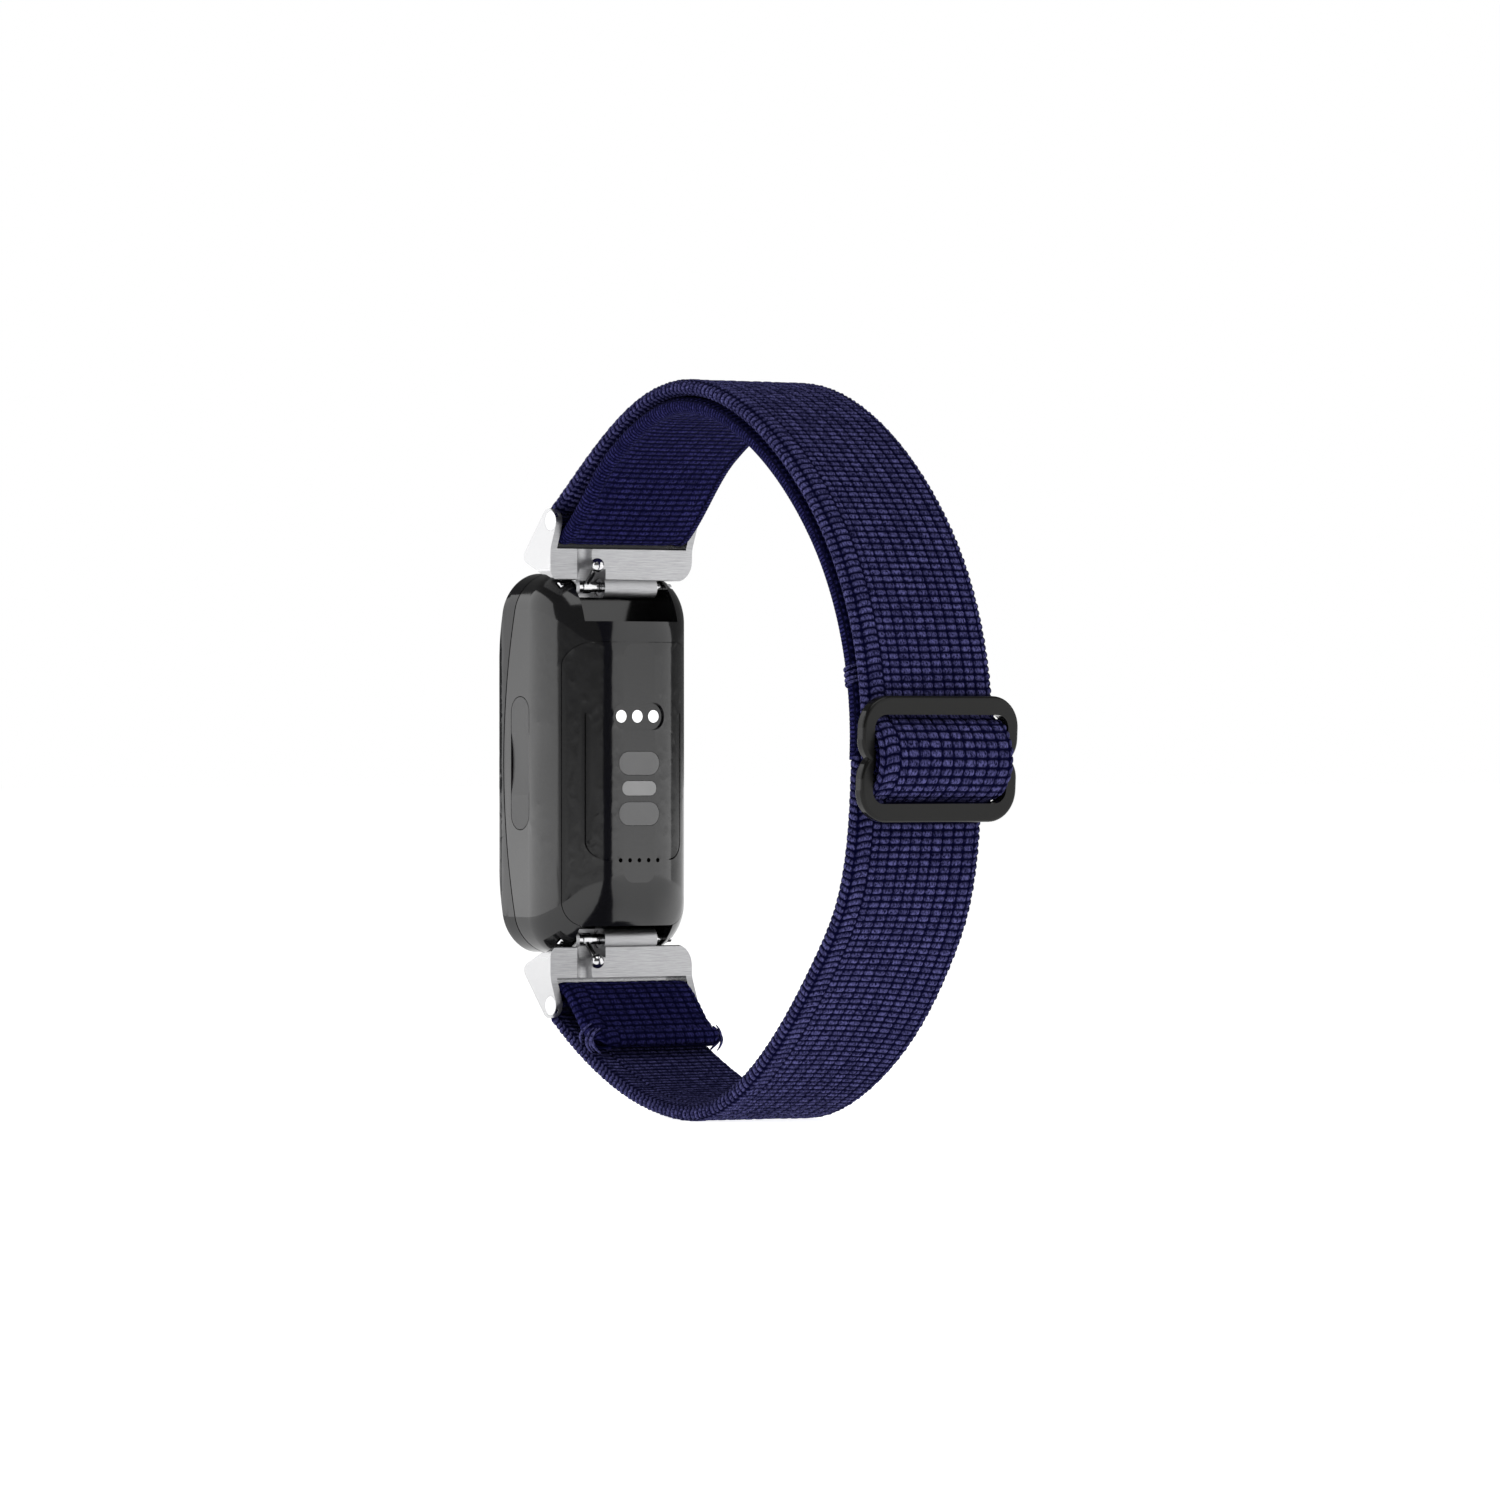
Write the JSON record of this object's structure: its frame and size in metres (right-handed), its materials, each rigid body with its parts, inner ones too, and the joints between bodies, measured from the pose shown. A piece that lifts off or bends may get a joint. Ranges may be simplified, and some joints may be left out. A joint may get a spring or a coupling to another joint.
{
  "type": "fitness tracker band",
  "caption": "Slim glossy wrist tracker on a woven elastic loop strap, with metal quick-release connectors and a slider buckle.",
  "frame": {"origin": "middle of the wrist opening, halfway between the tracker's back and the strap opposite it", "axes": "+X along the wrist towards the quick-release knobs, +Y from the screen to the slider buckle, +Z along the tracker's length"},
  "size_m": [0.0178, 0.0647, 0.071],
  "materials": {
    "housing_plastic": "gloss",
    "button_plastic": "satin",
    "screen_glass": "polished",
    "seal_rubber": "matte",
    "back_plastic": "satin",
    "sensor_window": "polished",
    "led_window": "polished",
    "display": "gloss",
    "flex_film": "satin",
    "board": "solder mask",
    "chip": "matte",
    "led": "gloss",
    "contact_metal": "plated",
    "battery_foil": "foil",
    "motor_steel": "satin",
    "connector_metal": "brushed lengthways",
    "pin_steel": "polished",
    "webbing": "woven elastic",
    "slider_metal": "satin black"
  },
  "bodies": {
    "tracker": {"main_housing": "housing_plastic", "front_glass": "screen_glass", "glass_gasket": "seal_rubber", "back_cover": "back_plastic", "back_seal": "seal_rubber", "photodiode_windows": "sensor_window", "led_window": "led_window", "button_switches": "flex_film", "display_panel": "display", "display_flex": "flex_film", "circuit_board": "board", "board_chips": "chip", "sensor_board": "board", "photodiodes": "chip", "led_package": "led", "charge_contacts": "contact_metal", "battery_cell": "battery_foil", "vibration_motor": "motor_steel"},
    "button_near": {"side_button_near": "button_plastic"},
    "button_far": {"side_button_far": "button_plastic"},
    "upper_link": {"upper_connector": "connector_metal", "upper_strap_pin": "pin_steel", "upper_spring_bar_tube": "pin_steel", "upper_bar_spring": "pin_steel"},
    "lower_link": {"lower_connector": "connector_metal", "lower_strap_pin": "pin_steel", "lower_spring_bar_tube": "pin_steel", "lower_bar_spring": "pin_steel"},
    "upper_release": {"upper_release_pin": "pin_steel"},
    "lower_release": {"lower_release_pin": "pin_steel"},
    "strap": {"strap_outer_band": "webbing", "strap_upper_eye": "webbing", "strap_lower_eye": "webbing", "strap_inner_layer": "webbing", "strap_lower_tail": "webbing"},
    "slider": {"slider_buckle": "slider_metal", "strap_slider_hump": "webbing", "strap_slider_loop": "webbing"}
  },
  "joints": [
    {"name": "upper_connector_hinge", "type": "hinge", "parent": "tracker", "child": "upper_link", "pos_m": [0, -0.027, 0.016], "axis": [1, 0, 0], "range_deg": [-4, 12]},
    {"name": "lower_connector_hinge", "type": "hinge", "parent": "tracker", "child": "lower_link", "pos_m": [0, -0.027, -0.0186], "axis": [1, 0, 0], "range_deg": [-12, 4]},
    {"name": "strap_pivot", "type": "hinge", "parent": "upper_link", "child": "strap", "pos_m": [0, -0.0257, 0.0224], "axis": [1, 0, 0], "range_deg": [-12, 4]},
    {"name": "slider_adjust", "type": "hinge", "parent": "strap", "child": "slider", "pos_m": [0, -0.00755, 0.0012], "axis": [1, 0, 0], "range_deg": [-20, 20]},
    {"name": "upper_release_slide", "type": "slide", "parent": "upper_link", "child": "upper_release", "axis": [-1, 0, 0], "range_m": [0, 0.00125], "stiffness_N_per_m": 800, "springref_m": -0.0015, "deforming": ["upper_bar_spring"]},
    {"name": "lower_release_slide", "type": "slide", "parent": "lower_link", "child": "lower_release", "axis": [-1, 0, 0], "range_m": [0, 0.00125], "stiffness_N_per_m": 800, "springref_m": -0.0015, "deforming": ["lower_bar_spring"]},
    {"name": "near_button_press", "type": "slide", "parent": "tracker", "child": "button_near", "axis": [-1, 0, 0], "range_m": [0, 0.00025], "stiffness_N_per_m": 1500, "springref_m": -0.0003},
    {"name": "far_button_press", "type": "slide", "parent": "tracker", "child": "button_far", "axis": [1, 0, 0], "range_m": [0, 0.00025], "stiffness_N_per_m": 1500, "springref_m": -0.0003}
  ],
  "couplings": [
    {"joint": "lower_connector_hinge", "follows": "upper_connector_hinge", "ratio": -1},
    {"joint": "strap_pivot", "follows": "upper_connector_hinge", "ratio": -1}
  ]
}
